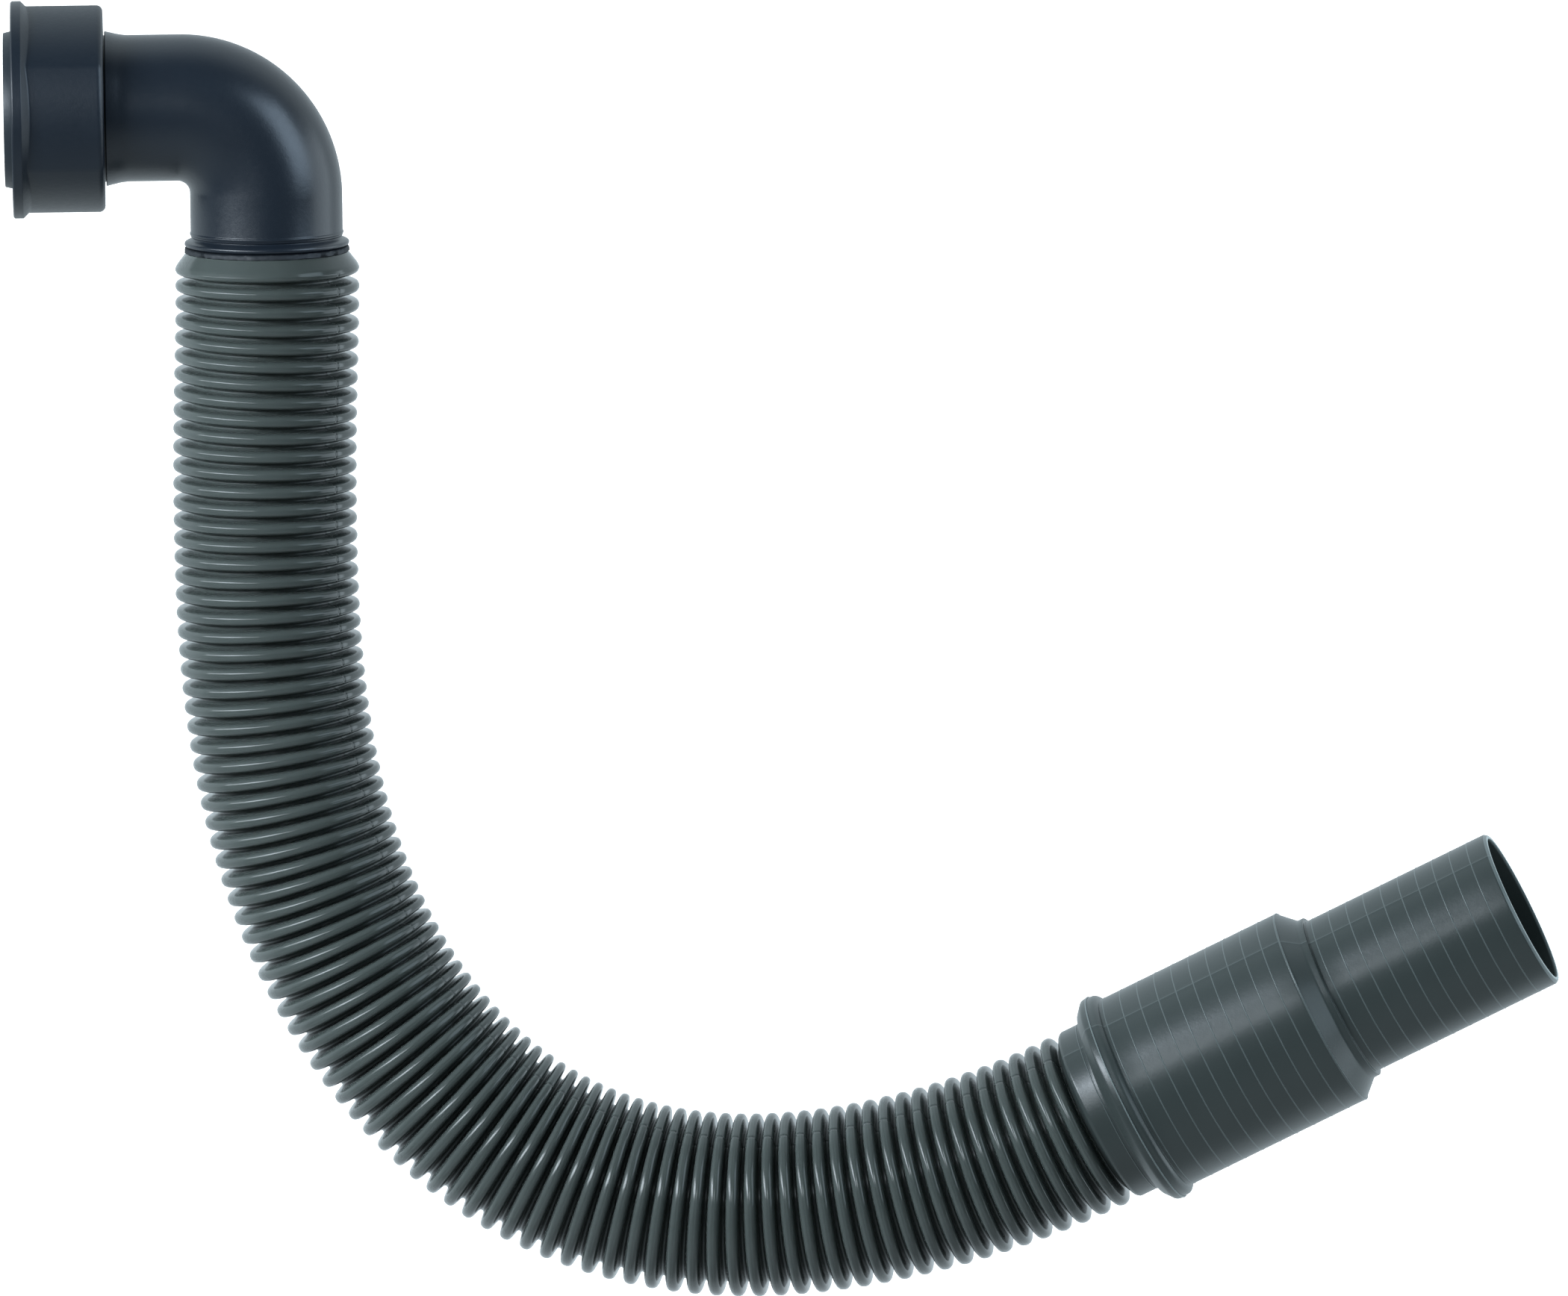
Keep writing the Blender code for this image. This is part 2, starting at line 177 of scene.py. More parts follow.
class Studio(bpy.types.PropertyGroup):
    """The camera and the floor."""
    azimuth: angle("Azimuth", -2.317, "Camera azimuth")
    elevation: angle("Elevation", 8.155, "Camera elevation")
    roll: angle("Roll", -0.601, "Camera roll")
    distance: metres("Distance", 3.6, "Camera to the part")
    lens: FloatProperty(name="Lens", description="Focal length in mm", default=341.45)
    floor_drop: metres("Floor drop", 0.75, "Origin down to the floor")
    floor_radius: metres("Floor radius", 18.0, "Centre of the round floor to its edge")


SETTINGS = {
    "drain_nut": NutSizes, "drain_elbow": ElbowSizes, "drain_hose": HoseSizes,
    "drain_cuff": CuffSizes, "drain_finish": Finish, "drain_studio": Studio,
}


def sizes(name):
    """One group of settings, as the scene keeps it."""
    return getattr(bpy.context.scene, name)


# The set of the hose as it lies: ridge number, degrees that each ridge turns there, stretch of its pitch.
HOSE_SET = np.array((
    (0, -0.8, 1.0), (8, 0.35, 1.0), (14, 0.25, 1.0), (22, 0.82, 1.0), (32, 1.4, 1.0), (41, 1.9, 1.0),
    (48, 2.3, 1.0), (55, 2.7, 1.01), (61, 2.5, 1.02), (66, 2.05, 1.03), (71, 1.45, 1.045),
    (78, 1.2, 1.055), (84, 1.3, 1.08), (86, 0.7, 1.08),
))

# One ridge from root to root: where along the pitch each ring lies, and its share of the ridge's height.
HALF_RIDGE = (
    (-0.5, 0.0), (-0.445, 0.015), (-0.40, 0.09), (-0.37, 0.28), (-0.34, 0.51), (-0.305, 0.71), (-0.255, 0.85),
    (-0.185, 0.94), (-0.095, 0.985), (-0.02, 1.0),
)
CREST_NICK = (0.0, 0.990)
OUTER_RIDGE = (*HALF_RIDGE, CREST_NICK, *((-place, height) for place, height in reversed(HALF_RIDGE)))
INNER_RIDGE = ((-0.5, 0.0), (0.0, 1.0), (0.5, 0.0))
# How much less a crest's rings turn in the bend than the roots do, so that a ridge keeps its width.
RIDGE_GIVE = 0.45

# Sides of the round pieces. The bellows has few, to stay under 200,000 triangles.
NUT_SIDES, SEAL_SIDES, ELBOW_SIDES, BOND_SIDES, BELLOWS_SIDES, CUFF_SIDES = 216, 128, 144, 300, 50, 112
LINE_SECTION_SIDES = 8


# Shapes

def ring_mesh(points, closed=True, sharp=40):
    """A mesh from an array of rings (ring, side, xyz). Closed joins the last ring to the first."""
    rings, sides = points.shape[:2]
    joins = rings if closed else rings - 1
    ring, side = np.meshgrid(np.arange(joins), np.arange(sides), indexing="ij")
    next_ring, next_side = (ring + 1) % rings, (side + 1) % sides
    corners = (ring, side), (ring, next_side), (next_ring, next_side), (next_ring, side)
    faces = np.stack([row * sides + column for row, column in corners], -1).reshape(-1, 4)
    flat = points.reshape(-1, 3)
    a, b, c, d = (flat[faces[:, corner]] for corner in range(4))
    volume = (a * np.cross(b, c)).sum() + (a * np.cross(c, d)).sum()
    if closed and volume < 0:
        faces = faces[:, ::-1]
    mesh = bpy.data.meshes.new("rings")
    mesh.from_pydata(flat.tolist(), [], faces.tolist())
    mesh.update()
    mesh.shade_smooth()
    mesh.set_sharp_from_angle(angle=radians(sharp))
    return mesh


def rounded(profile, steps=4):
    """A line of (place, radius, rounding) with each corner replaced by a curve of about that rounding."""
    most_share = 0.48
    out = []
    for k, (x, y, size) in enumerate(profile):
        here = np.array((x, y))
        if not size or k in (0, len(profile) - 1):
            out.append(here)
            continue
        before = np.array(profile[k - 1][:2]) - here
        after = np.array(profile[k + 1][:2]) - here
        room_before, room_after = np.linalg.norm(before), np.linalg.norm(after)
        cut = min(size, most_share * room_before, most_share * room_after)
        start, stop = here + before / room_before * cut, here + after / room_after * cut
        for t in np.arange(steps + 1) / steps:
            out.append((1 - t) ** 2 * start + 2 * t * (1 - t) * here + t * t * stop)
    return out


def split_long(profile, most):
    """Adds places on long straight stretches, so that no stretch of a line is longer than a size."""
    out = [profile[0]]
    for a, b in zip(profile, profile[1:]):
        parts = max(1, int(np.ceil(np.linalg.norm(np.subtract(b, a)) / most)))
        out += [np.add(a, np.subtract(b, a) * k / parts) for k in range(1, parts + 1)]
    return out


def round_turns(sides):
    return np.arange(sides) * 2 * pi / sides


def along_inlet(line):
    """Stations (centre, heading, radius) on the inlet's axis, from a line of (place, radius)."""
    return [((x, 0, 0), 0.0, radius) for x, radius in line]


def down_arm(line):
    """Stations on the arm's axis, from a line of (drop, radius)."""
    arm = sizes("drain_elbow").arm_place
    return [((arm, 0, -drop), pi / 2, radius) for drop, radius in line]


def rings_along(stations, turns):
    """Rings of points round stations (centre, heading, radius). A radius is one number or one per turn."""
    out = []
    for centre, heading, radius in stations:
        across = np.array((sin(heading), 0, cos(heading)))
        ring = np.cos(turns)[:, None] * across + np.sin(turns)[:, None] * np.array((0, 1, 0))
        out.append(np.asarray(centre) + np.reshape(radius, (-1, 1)) * ring)
    return np.array(out)


def weld(name, pieces, material):
    """Several open shells made one closed mesh, with its faces pointing outwards."""
    shell = bmesh.new()
    for piece in pieces:
        shell.from_mesh(piece.data)
        bpy.data.objects.remove(piece)
    bmesh.ops.remove_doubles(shell, verts=shell.verts, dist=0.02 * MM)
    bmesh.ops.recalc_face_normals(shell, faces=shell.faces)
    if shell.calc_volume(signed=True) < 0:
        bmesh.ops.reverse_faces(shell, faces=shell.faces)
    mesh = bpy.data.meshes.new(name)
    shell.to_mesh(mesh)
    shell.free()
    mesh.shade_smooth()
    mesh.set_sharp_from_angle(angle=radians(50))
    return new_piece(name, mesh, material)


def new_piece(name, mesh, material):
    """An object with one material, in the scene. Its mesh takes its name."""
    mesh.name = name
    mesh.materials.clear()
    mesh.materials.append(material)
    piece = bpy.data.objects.new(name, mesh)
    bpy.context.scene.collection.objects.link(piece)
    return piece


def finish_piece(piece, body, slot, *nodes):
    """Says which body a piece rides and which nodes of the part it stands for; its slot is not used."""
    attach(piece, body)
    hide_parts(*nodes)


def hose_route(hose):
    """The hose's centre line (centre, heading) at every half ridge, from half a ridge before the first on."""
    place, heading = np.array((sizes("drain_elbow").arm_place, 0, -hose.first_ridge)), pi / 2
    half = hose.pitch / 2
    route = [(place + np.array((0, 0, half)), heading), (place, heading)]
    for k in range(2 * hose.ridges - 1):
        ridge = (k + 0.5) / 2
        turn, stretch = (np.interp(ridge, HOSE_SET[:, 0], HOSE_SET[:, column]) for column in (1, 2))
        quarter = radians(turn) / 4
        heading -= quarter
        place = place + half * stretch * np.array((cos(heading), 0, -sin(heading)))
        heading -= quarter
        route.append((place, heading))
    return route


def twist_mesh(mesh):
    """Turns a mesh drawn in the XZ plane into the hose's own plane."""
    arm = Matrix.Translation((sizes("drain_elbow").arm_place, 0, 0))
    mesh.transform(arm @ Matrix.Rotation(-sizes("drain_hose").twist, 4, "Z") @ arm.inverted())
    mesh.update()


# Nodes

def add_node(tree, kind, values=None, **settings):
    """A node with its settings, and its inputs by name or number: a socket is linked, a value is set."""
    node = tree.nodes.new(kind)
    for key, value in settings.items():
        setattr(node, key, value)
    for key, value in (values or {}).items():
        if isinstance(value, bpy.types.NodeSocket):
            tree.links.new(value, node.inputs[key])
        else:
            node.inputs[key].default_value = value
    return node


def maths(tree, operation, *values):
    return add_node(tree, "ShaderNodeMath", dict(enumerate(values)), operation=operation).outputs[0]


def split_xyz(tree, vector):
    return add_node(tree, "ShaderNodeSeparateXYZ", {0: vector}).outputs


def spread(tree, value, start, stop, low, high, **settings):
    """A value that runs from start to stop, made to run from low to high."""
    return add_node(tree, "ShaderNodeMapRange", {
        "Value": value, "From Min": start, "From Max": stop, "To Min": low, "To Max": high,
    }, **settings).outputs[0]


def shape_line(tree, value, points):
    """A line of straight stretches through points, read at a value."""
    node = add_node(tree, "ShaderNodeFloatCurve", {"Value": value})
    curve = node.mapping.curves[0]
    for place in points[1:-1]:
        curve.points.new(*place)
    for point, place in zip(curve.points, sorted(points)):
        point.location = place
        point.handle_type = "VECTOR"
    node.mapping.update()
    return node.outputs[0]


def ridge_lines(tree, share, ridge):
    """Where a ring lies along the pitch and how high it is, read at its share of the ridge's rings."""
    rings = len(ridge) - 1
    places = [(k / rings, place + 0.5) for k, (place, _) in enumerate(ridge)]
    heights = [(k / rings, height) for k, (_, height) in enumerate(ridge)]
    return shape_line(tree, share, places), shape_line(tree, share, heights)


FLOAT, WHOLE, VECTOR = "NodeSocketFloat", "NodeSocketInt", "NodeSocketVector"
SWITCH, STUFF = "NodeSocketBool", "NodeSocketMaterial"


def new_tree(name, inputs):
    """A geometry node group with named inputs. Gives the tree and its inputs' sockets."""
    tree = bpy.data.node_groups.new(name, "GeometryNodeTree")
    face = tree.interface
    face.new_socket("Geometry", in_out="OUTPUT", socket_type="NodeSocketGeometry")
    face.new_socket("Geometry", in_out="INPUT", socket_type="NodeSocketGeometry")
    for label, kind in inputs:
        face.new_socket(label, in_out="INPUT", socket_type=kind)
    tree.nodes.new("NodeGroupInput")
    tree.nodes.new("NodeGroupOutput")
    return tree, tree.nodes["Group Input"].outputs


def end_tree(tree, geometry, material):
    real = add_node(tree, "GeometryNodeRealizeInstances", {"Geometry": geometry})
    last = add_node(tree, "GeometryNodeSetMaterial", {"Geometry": real.outputs[0], "Material": material})
    tree.links.new(last.outputs[0], tree.nodes["Group Output"].inputs[0])
    return tree


def use_tree(piece, tree, values):
    """Gives a piece a node group, with its inputs set by their identifiers."""
    modifier = piece.modifiers.new(tree.name, "NODES")
    modifier.node_group = tree
    names = {s.name: s.identifier for s in tree.interface.items_tree if s.in_out == "INPUT"}
    for label, value in values.items():
        modifier[names[label]] = value


def bake(piece, name, material):
    """The evaluated piece as a plain mesh object; the one with modifiers is removed."""
    graph = bpy.context.evaluated_depsgraph_get()
    mesh = bpy.data.meshes.new_from_object(piece.evaluated_get(graph), depsgraph=graph)
    bpy.data.objects.remove(piece)
    return new_piece(name, mesh, material)


def bellows_tree():
    """Rings swept along route points, a ridge at a time, with the ridge's outer or inner profile."""
    tree, given = new_tree("bellows", (
        ("Ridges", WHOLE), ("Rings", WHOLE), ("Sides", WHOLE), ("Crest radius", FLOAT),
        ("Root radius", FLOAT), ("Skip", WHOLE), ("Inside", SWITCH), ("Material", STUFF),
    ))
    ridges, rings, skip = given["Ridges"], given["Rings"], given["Skip"]
    total = maths(tree, "SUBTRACT", maths(tree, "MULTIPLY", ridges, rings), skip)
    grid = add_node(tree, "GeometryNodeMeshGrid", {
        "Size X": 1.0, "Size Y": 1.0,
        "Vertices X": maths(tree, "ADD", total, 1.0), "Vertices Y": maths(tree, "ADD", given["Sides"], 1.0),
    })

    # The grid's X counts the rings, less those skipped before the first crest, and its Y goes round.
    position = add_node(tree, "GeometryNodeInputPosition").outputs[0]
    where = split_xyz(tree, position)
    row = maths(tree, "ROUND", maths(tree, "MULTIPLY", maths(tree, "ADD", where[0], 0.5), total))
    row = maths(tree, "ADD", row, skip)
    round_share = maths(tree, "ADD", where[1], 0.5)
    whole_guard = 0.001
    ridge = maths(tree, "FLOOR", maths(tree, "DIVIDE", maths(tree, "ADD", row, whole_guard), rings))
    ridge = maths(tree, "MINIMUM", ridge, maths(tree, "SUBTRACT", ridges, 1.0))
    ring = maths(tree, "SUBTRACT", row, maths(tree, "MULTIPLY", ridge, rings))
    share = maths(tree, "DIVIDE", ring, rings)
    place, height = (
        add_node(tree, "GeometryNodeSwitch", {
            "Switch": given["Inside"], "False": outer, "True": inner,
        }, input_type="FLOAT").outputs[0]
        for outer, inner in zip(ridge_lines(tree, share, OUTER_RIDGE), ridge_lines(tree, share, INNER_RIDGE))
    )

    # The route has a point at every half ridge, and a ring lies between two of them.
    along = maths(tree, "ADD", ridge, place)
    step = maths(tree, "MULTIPLY", along, 2.0)
    low = maths(tree, "FLOOR", step)
    blend = maths(tree, "SUBTRACT", step, low)

    def read(field, kind, index):
        node = add_node(tree, "GeometryNodeSampleIndex", {
            "Geometry": given["Geometry"], "Index": index,
        }, data_type=kind, domain="POINT", clamp=True)
        tree.links.new(field, node.inputs["Value"])
        return node.outputs[0]

    def sampled(field, kind):
        ends = [read(field, kind, maths(tree, "ADD", low, extra)) for extra in (0.0, 1.0)]
        if kind == "FLOAT":
            mix = add_node(tree, "ShaderNodeMix", data_type="FLOAT")
            a, b, out = mix.inputs[2], mix.inputs[3], mix.outputs[0]
        else:
            mix = add_node(tree, "ShaderNodeMix", data_type="VECTOR")
            a, b, out = mix.inputs[4], mix.inputs[5], mix.outputs[1]
        tree.links.new(blend, mix.inputs[0])
        tree.links.new(ends[0], a)
        tree.links.new(ends[1], b)
        return out

    centre = sampled(position, "FLOAT_VECTOR")
    named = add_node(tree, "GeometryNodeInputNamedAttribute", {"Name": "heading"}, data_type="FLOAT")
    stored = named.outputs[0]
    at_crest = read(stored, "FLOAT", maths(tree, "MULTIPLY_ADD", ridge, 2.0, 1.0))
    give = maths(tree, "MULTIPLY_ADD", height, -RIDGE_GIVE, 1.0)
    off_crest = maths(tree, "SUBTRACT", sampled(stored, "FLOAT"), at_crest)
    heading = maths(tree, "MULTIPLY_ADD", off_crest, give, at_crest)

    rise = maths(tree, "SUBTRACT", given["Crest radius"], given["Root radius"])
    radius = maths(tree, "MULTIPLY_ADD", rise, height, given["Root radius"])
    turn = maths(tree, "MULTIPLY", round_share, 2 * pi)
    flat = maths(tree, "MULTIPLY", radius, maths(tree, "COSINE", turn))
    offset = add_node(tree, "ShaderNodeCombineXYZ", {
        0: maths(tree, "MULTIPLY", flat, maths(tree, "SINE", heading)),
        1: maths(tree, "MULTIPLY", radius, maths(tree, "SINE", turn)),
        2: maths(tree, "MULTIPLY", flat, maths(tree, "COSINE", heading)),
    })
    target = add_node(tree, "ShaderNodeVectorMath", {0: centre, 1: offset.outputs[0]}, operation="ADD")
    uv = add_node(tree, "ShaderNodeCombineXYZ", {0: round_share, 1: along})
    mapped = add_node(tree, "GeometryNodeStoreNamedAttribute", {
        "Geometry": grid.outputs[0], "Name": "UVMap", "Value": uv.outputs[0],
    }, data_type="FLOAT2", domain="CORNER")
    moved = add_node(tree, "GeometryNodeSetPosition", {
        "Geometry": mapped.outputs[0], "Position": target.outputs[0],
    })
    welded = add_node(tree, "GeometryNodeMergeByDistance", {
        "Geometry": moved.outputs[0], "Distance": 0.01 * MM,
    })
    return end_tree(tree, welded.outputs[0], given["Material"])


def line_tree():
    """Thin rings at even steps along an axis, joined to what comes in."""
    tree, given = new_tree("mould_lines", (
        ("Count", WHOLE), ("Start", VECTOR), ("Step", VECTOR), ("Tilt", FLOAT),
        ("Radius", FLOAT), ("Thickness", FLOAT), ("Wear and highlight", FLOAT), ("Material", STUFF),
    ))
    points = add_node(tree, "GeometryNodeMeshLine", {
        "Count": given["Count"], "Start Location": given["Start"], "Offset": given["Step"],
    }, mode="OFFSET")
    circle, section = (
        add_node(tree, "GeometryNodeCurvePrimitiveCircle", {
            "Resolution": sides, "Radius": given[radius],
        }).outputs[0]
        for sides, radius in ((CUFF_SIDES, "Radius"), (LINE_SECTION_SIDES, "Thickness"))
    )
    ring = add_node(tree, "GeometryNodeCurveToMesh", {"Curve": circle, "Profile Curve": section})
    smooth = add_node(tree, "GeometryNodeSetShadeSmooth", {"Geometry": ring.outputs[0]})
    # Each ring stores how pale it is drawn: partly wear and partly a painted highlight.
    pale = add_node(tree, "GeometryNodeStoreNamedAttribute", {
        "Geometry": smooth.outputs[0], "Name": "wear_and_highlight", "Value": given["Wear and highlight"],
    }, data_type="FLOAT", domain="POINT")
    rotation = add_node(tree, "ShaderNodeCombineXYZ", {1: given["Tilt"]})
    placed = add_node(tree, "GeometryNodeInstanceOnPoints", {
        "Points": points.outputs[0], "Instance": pale.outputs[0], "Rotation": rotation.outputs[0],
    })
    both = add_node(tree, "GeometryNodeJoinGeometry")
    tree.links.new(placed.outputs[0], both.inputs[0])
    tree.links.new(given["Geometry"], both.inputs[0])
    return end_tree(tree, both.outputs[0], given["Material"])


# Finishes

def object_noise(tree, scale, detail, rough):
    """Noise in the piece's own coordinates, with its scale in waves a metre."""
    spot = add_node(tree, "ShaderNodeTexCoord").outputs["Object"]
    return add_node(tree, "ShaderNodeTexNoise", {
        "Vector": spot, "Scale": scale, "Detail": detail, "Roughness": rough,
    }).outputs["Fac"]


def plastic(name, base, rough, grain=0.00012, mottle=0.06, streak=0.05, seams=None, index=1.49):
    """Moulded plastic: a faint mottle in colour, a gloss that wanders by a streak, and a fine skin."""
    made = bpy.data.materials.new(name)
    made.use_nodes = True
    tree = made.node_tree
    shader = tree.nodes["Principled BSDF"]
    shader.inputs["IOR"].default_value = index
    cloud = object_noise(tree, 55.0, 4.0, 0.55)
    fine = object_noise(tree, 900.0, 3.0, 0.6)
    skin = object_noise(tree, 2600.0, 2.0, 0.5)
    tone = spread(tree, cloud, 0.3, 0.7, 1 - mottle, 1 + mottle)
    toned = add_node(tree, "ShaderNodeVectorMath", {0: base, 1: tone}, operation="MULTIPLY").outputs[0]
    gloss = maths(tree, "MULTIPLY_ADD", maths(tree, "SUBTRACT", fine, 0.5), 2 * streak, rough)
    gloss = maths(tree, "MULTIPLY_ADD", maths(tree, "SUBTRACT", cloud, 0.5), streak, gloss)
    tree.links.new(gloss, shader.inputs["Roughness"])
    bump = add_node(tree, "ShaderNodeBump", {
        "Strength": 0.25, "Distance": grain, "Height": maths(tree, "MULTIPLY_ADD", skin, 0.5, fine),
    })
    tree.links.new(bump.outputs[0], shader.inputs["Normal"])
    if seams:
        seams(tree, shader, toned, bump)
    else:
        tree.links.new(toned, shader.inputs["Base Color"])
    return made


def mixed_colour(tree, share, under, over):
    """One colour over another by a share."""
    mix = add_node(tree, "ShaderNodeMix", {0: share}, data_type="RGBA")
    tree.links.new(under, mix.inputs[6])
    mix.inputs[7].default_value = (*over, 1)
    return mix.outputs[2]


def near_line(tree, value, line, width):
    """1 on a line in a 0 to 1 value that wraps, falling to 0 at a width."""
    away = maths(tree, "PINGPONG", maths(tree, "SUBTRACT", value, line), 0.5)
    return spread(tree, away, 0.0, width, 1.0, 0.0, interpolation_type="SMOOTHSTEP")


def ridge_seams(tree, shader, base, bump):
    """The two parting lines along the blown hose, as a fine dark nick on each crest."""
    width, darkness, depth = 0.0045, 0.3, 0.2 * MM
    uv = add_node(tree, "ShaderNodeUVMap", uv_map="UVMap").outputs[0]
    round_share = split_xyz(tree, uv)[0]
    first = sizes("drain_hose").parting / (2 * pi)
    lines = [near_line(tree, round_share, line, width) for line in (first, first + 0.5)]
    mask = maths(tree, "MAXIMUM", *lines)
    dark = mixed_colour(tree, maths(tree, "MULTIPLY", mask, darkness), base, sizes("drain_finish").seam)
    tree.links.new(dark, shader.inputs["Base Color"])
    nick = add_node(tree, "ShaderNodeBump", {
        "Strength": 0.5, "Distance": depth, "Height": maths(tree, "MULTIPLY", mask, -1.0),
        "Normal": bump.outputs[0],
    })
    tree.links.new(nick.outputs[0], shader.inputs["Normal"])


def wear_and_highlight_edges(tree, shader, base, bump):
    """Paler plastic by a stored attribute: wear on cut and rubbed edges, and a painted highlight on mould
    lines, edges and the cut rim.
    """
    wear_and_highlight = add_node(tree, "ShaderNodeAttribute", attribute_name="wear_and_highlight").outputs["Fac"]
    tree.links.new(mixed_colour(tree, wear_and_highlight, base, sizes("drain_finish").wear_and_highlight), shader.inputs["Base Color"])


# Union nut

def facet_outline(s, turns):
    """The radius of the six bowed facets at each turn."""
    side = pi / 3
    off_facet = turns % side - side / 2
    half_chord = s.corner_radius * sin(side / 2)
    bow = s.facet_radius - s.corner_radius * cos(side / 2)
    arc = (half_chord ** 2 + bow ** 2) / (2 * bow)
    back = s.facet_radius - arc
    return back * np.cos(off_facet) + np.sqrt(arc ** 2 - (back * np.sin(off_facet)) ** 2)


def thread_rows(s, turns):
    """Rings (place, radius at each turn) of the inside thread, from its run-out to the nut's mouth."""
    run_out, step, chamfer = 1.1 * MM, 0.16 * MM, 0.6 * MM
    flat_share, flank_share = 0.16, 0.68
    depth = s.thread_major - s.thread_minor
    rows = []
    for x in np.arange(s.thread_length + run_out, 0.0, -step):
        share = (x / s.thread_pitch + turns / (2 * pi)) % 1.0
        ramp = np.clip((np.abs(2 * share - 1) - flat_share) / flank_share, 0, 1)
        tooth = s.thread_major - depth * (0.5 - 0.5 * np.cos(pi * ramp))
        fade = np.clip((x - s.thread_length) / run_out, 0, 1)
        tooth = tooth + (s.thread_major - tooth) * fade
        rows.append((x, np.maximum(tooth, s.thread_major + chamfer - x)))
    rows.append((0.0, s.thread_major + chamfer + 0.02 * MM))
    return rows


class DRAIN_OT_union_nut(bpy.types.Operator):
    """Builds the union nut with its flange, bowed facets and inside thread"""
    bl_idname = "drain.union_nut"
    bl_label = "Union nut"

    def execute(self, context):
        s = sizes("drain_nut")
        turns = round_turns(NUT_SIDES)
        outline = facet_outline(s, turns)
        rear = s.nut_length
        chamfer, softness = 0.35 * MM, 0.10 * MM
        merged = s.facet_radius - 3 * MM

        def outer(x):
            """The outside at a place: the flange, which slopes down and melts into the facets."""
            flange = s.flange_radius - max(0.0, chamfer - x) - max(0.0, x - s.flange_thickness)
            if flange <= merged:
                return outline
            return np.logaddexp(flange / softness, outline / softness) * softness

        blend_end = s.flange_thickness + 4.6 * MM
        places = (
            0, 0.1 * MM, 0.22 * MM, chamfer, 0.5 * MM,
            *np.linspace(0.9 * MM, s.flange_thickness - 0.15 * MM, 4),
            *np.linspace(s.flange_thickness, blend_end, 34),
            *np.linspace(blend_end + 0.8 * MM, rear - s.rear_round - 0.2 * MM, 10),
        )
        rows = [(x, outer(x)) for x in places]
        for t in np.linspace(0, pi / 2, 9):
            rows.append((rear - s.rear_round * (1 - sin(t)), outline - s.rear_round * (1 - cos(t))))
        edge, hole = rows[-1][1], s.hole_radius + 0.5 * MM
        rows += [(rear, edge + (hole - edge) * share) for share in (0.35, 0.7, 0.93)]
        wall = rear - s.rear_wall
        inside = rounded([
            (rear, s.hole_radius + 0.6 * MM, 0),
            (rear, s.hole_radius, 0.4 * MM),
            (wall, s.hole_radius, 0.3 * MM),
            (wall, s.thread_major, 0.3 * MM),
            (s.thread_length + 1.2 * MM, s.thread_major, 0),
        ])
        rows += [*inside, *thread_rows(s, turns)]
        points = rings_along(along_inlet(rows), turns)
        skin = plastic("slate_nut_plastic", sizes("drain_finish").nut, 0.40, grain=0.00010, index=1.5)
        piece = new_piece("union_nut_moulding", ring_mesh(points, sharp=50), skin)
        finish_piece(piece, NUT, "union_nut", "union_nut")
        return {"FINISHED"}


# Elbow with its seal and bond

class DRAIN_OT_coned_seal(bpy.types.Operator):
    """Builds the coned sealing ring on the elbow's tip"""
    bl_idname = "drain.coned_seal"
    bl_label = "Coned seal"

    def execute(self, context):
        s, finish = sizes("drain_elbow"), sizes("drain_finish")
        inner, outer, front = s.seat_radius + 0.25 * MM, s.collar_radius, -s.seal_thickness
        loop = rounded([
            (0.0, inner, 0), (0.0, outer, 0.12 * MM), (front, outer - 0.45 * MM, 0.25 * MM),
            (front, inner, 0.15 * MM), (0.0, inner, 0),
        ])[:-1]
        rubber = plastic("seal_rubber", finish.seal, 0.46, grain=0.00016, mottle=0.08, streak=0.08)
        mesh = ring_mesh(rings_along(along_inlet(loop), round_turns(SEAL_SIDES)))
        finish_piece(new_piece("coned_seal", mesh, rubber), PIPE, "cone_seal", "cone_seal")
        return {"FINISHED"}


